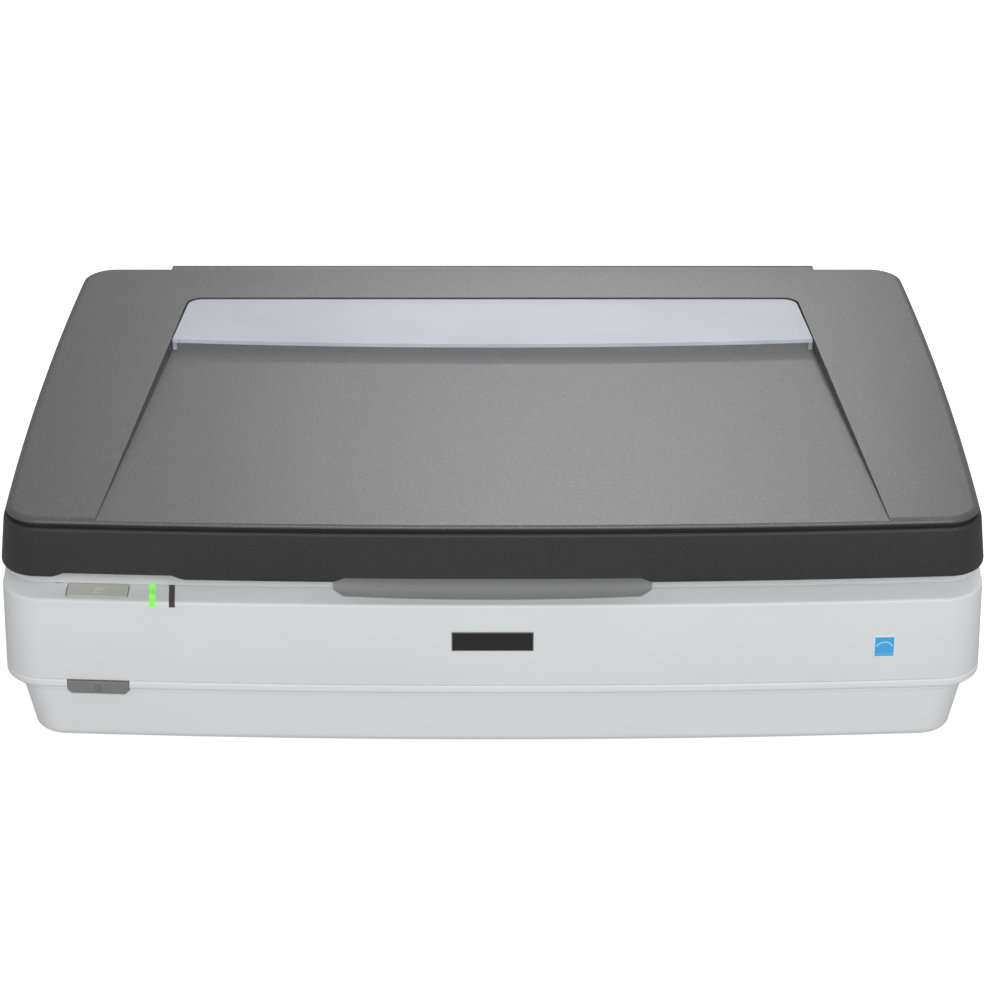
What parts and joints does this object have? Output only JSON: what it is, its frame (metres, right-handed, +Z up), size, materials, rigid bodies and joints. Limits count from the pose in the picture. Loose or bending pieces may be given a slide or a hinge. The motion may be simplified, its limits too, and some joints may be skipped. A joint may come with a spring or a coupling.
{
  "type": "flatbed scanner",
  "caption": "Large-format flatbed scanner: pale case, charcoal lid with a document pocket on lifting hinge posts, glass platen, belt-driven carriage and front controls.",
  "frame": {"origin": "on the ground under the middle of the scanner, at the bottom centre of its closed bounding box", "axes": "+X to the right as seen from the front, along the case; +Y from the front controls to the hinges at the back; +Z up"},
  "size_m": [0.6558, 0.458, 0.167],
  "materials": {
    "case_plastic": "fine-textured, semi-matt",
    "grey_plastic": "fine-textured, semi-matt",
    "button_plastic": "smooth, semi-matt",
    "lid_plastic": "coarse spark-textured charcoal",
    "lid_paint": "metallic grey with a fine sparkle",
    "smoke_plate": "translucent, pale lavender",
    "platen_glass": "polished",
    "white_plastic": "matt white",
    "mat_foam": "matt white foil over foam",
    "black_plastic": "semi-matt",
    "dark_window": "smoked window, unlit",
    "green_window": "lit window",
    "label_blue": "printed film, blank",
    "black_rubber": "matt",
    "belt_rubber": "matt",
    "sheet_steel": "zinc-plated",
    "bright_steel": "ground and polished",
    "spring_steel": "oiled",
    "painted_steel": "charcoal paint",
    "bronze": "sintered",
    "brass_pins": "plated",
    "circuit_board": "solder-masked laminate",
    "mirror": "front-silvered",
    "lamp_glass": "frosted",
    "reflector": "polished",
    "cable_film": "flexible laminate"
  },
  "bodies": {
    "base": {"lower_case": "case_plastic", "upper_case": "case_plastic", "platen_frame": "case_plastic", "platen_glass": "platen_glass", "white_reference_strip": "white_plastic", "grip_insert": "grey_plastic", "status_light": "green_window", "error_light": "dark_window", "name_plate": "black_plastic", "front_label": "label_blue", "rubber_feet": "black_rubber", "case_screws": "bright_steel", "chassis_plate": "sheet_steel", "guide_shaft": "bright_steel", "shaft_clamps": "black_plastic", "guide_rail": "sheet_steel", "drive_motor": "sheet_steel", "pulley_axles": "bright_steel", "idler_bracket": "sheet_steel", "tension_spring": "spring_steel", "drive_belt": "belt_rubber", "main_board": "circuit_board", "main_board_chips": "black_plastic", "power_supply": "sheet_steel", "ac_inlet": "black_plastic", "ac_inlet_pins": "brass_pins", "usb_port": "bright_steel", "accessory_port": "bright_steel", "rear_connector_plate": "sheet_steel", "hinge_sockets": "sheet_steel", "flat_cable": "cable_film"},
    "carriage": {"carriage_housing": "black_plastic", "lamp_tubes": "lamp_glass", "lamp_reflector": "reflector", "scan_mirrors": "mirror", "lens_barrel": "black_plastic", "sensor_board": "circuit_board", "guide_bushes": "bronze", "belt_clamp": "black_plastic", "slide_shoe": "white_plastic"},
    "hinge_posts": {"hinge_post_left": "painted_steel", "hinge_post_right": "painted_steel"},
    "lid": {"lid_skirt": "lid_plastic", "lid_top_panel": "lid_paint", "pocket_plate": "smoke_plate", "lid_inner_panel": "case_plastic", "document_mat": "mat_foam", "lid_bumpers": "black_rubber", "lid_screws": "bright_steel", "hinge_brackets": "sheet_steel", "hinge_pins": "bright_steel", "torsion_springs": "spring_steel"},
    "start_button": {"start_button": "button_plastic"},
    "power_button": {"power_button": "grey_plastic"},
    "transport_lock": {"transport_lock": "grey_plastic"},
    "motor_pinion": {"motor_pinion": "bronze"},
    "reduction_gear": {"reduction_gear": "white_plastic"},
    "idler_pulley": {"idler_pulley": "white_plastic"}
  },
  "joints": [
    {"name": "hinge_lift", "type": "slide", "parent": "base", "child": "hinge_posts", "axis": [0, 0, 1], "range_m": [0, 0.04]},
    {"name": "lid_hinge", "type": "hinge", "parent": "hinge_posts", "child": "lid", "pos_m": [0, 0.219, 0.15], "axis": [-1, 0, 0], "range_deg": [0, 80]},
    {"name": "carriage_slide", "type": "slide", "parent": "base", "child": "carriage", "axis": [1, 0, 0], "range_m": [0, 0.455]},
    {"name": "reduction_gear_spin", "type": "hinge", "parent": "base", "child": "reduction_gear", "pos_m": [0.262, 0.072, 0.045], "axis": [0, 0, 1], "range_deg": [-5, 2200]},
    {"name": "motor_pinion_spin", "type": "hinge", "parent": "base", "child": "motor_pinion", "pos_m": [0.262, 0.0504, 0.04], "axis": [0, 0, 1], "range_deg": [-6600, 15]},
    {"name": "idler_pulley_spin", "type": "hinge", "parent": "base", "child": "idler_pulley", "pos_m": [-0.275, 0.072, 0.047], "axis": [0, 0, 1], "range_deg": [-5, 2200]},
    {"name": "start_button_press", "type": "slide", "parent": "base", "child": "start_button", "axis": [0.0128, 0.2438, -0.9697], "range_m": [0, 0.0015], "stiffness_N_per_m": 600, "springref_m": -0.001},
    {"name": "power_button_press", "type": "slide", "parent": "base", "child": "power_button", "axis": [0.0529, 0.9986, 0], "range_m": [0, 0.0015], "stiffness_N_per_m": 600, "springref_m": -0.001},
    {"name": "transport_lock_slide", "type": "slide", "parent": "base", "child": "transport_lock", "axis": [0, 1, 0], "range_m": [0, 0.02]}
  ],
  "couplings": [
    {"joint": "reduction_gear_spin", "follows": "carriage_slide", "rad_per_m": 77.519},
    {"joint": "idler_pulley_spin", "follows": "carriage_slide", "rad_per_m": 77.519},
    {"joint": "motor_pinion_spin", "follows": "carriage_slide", "rad_per_m": -232.56}
  ]
}
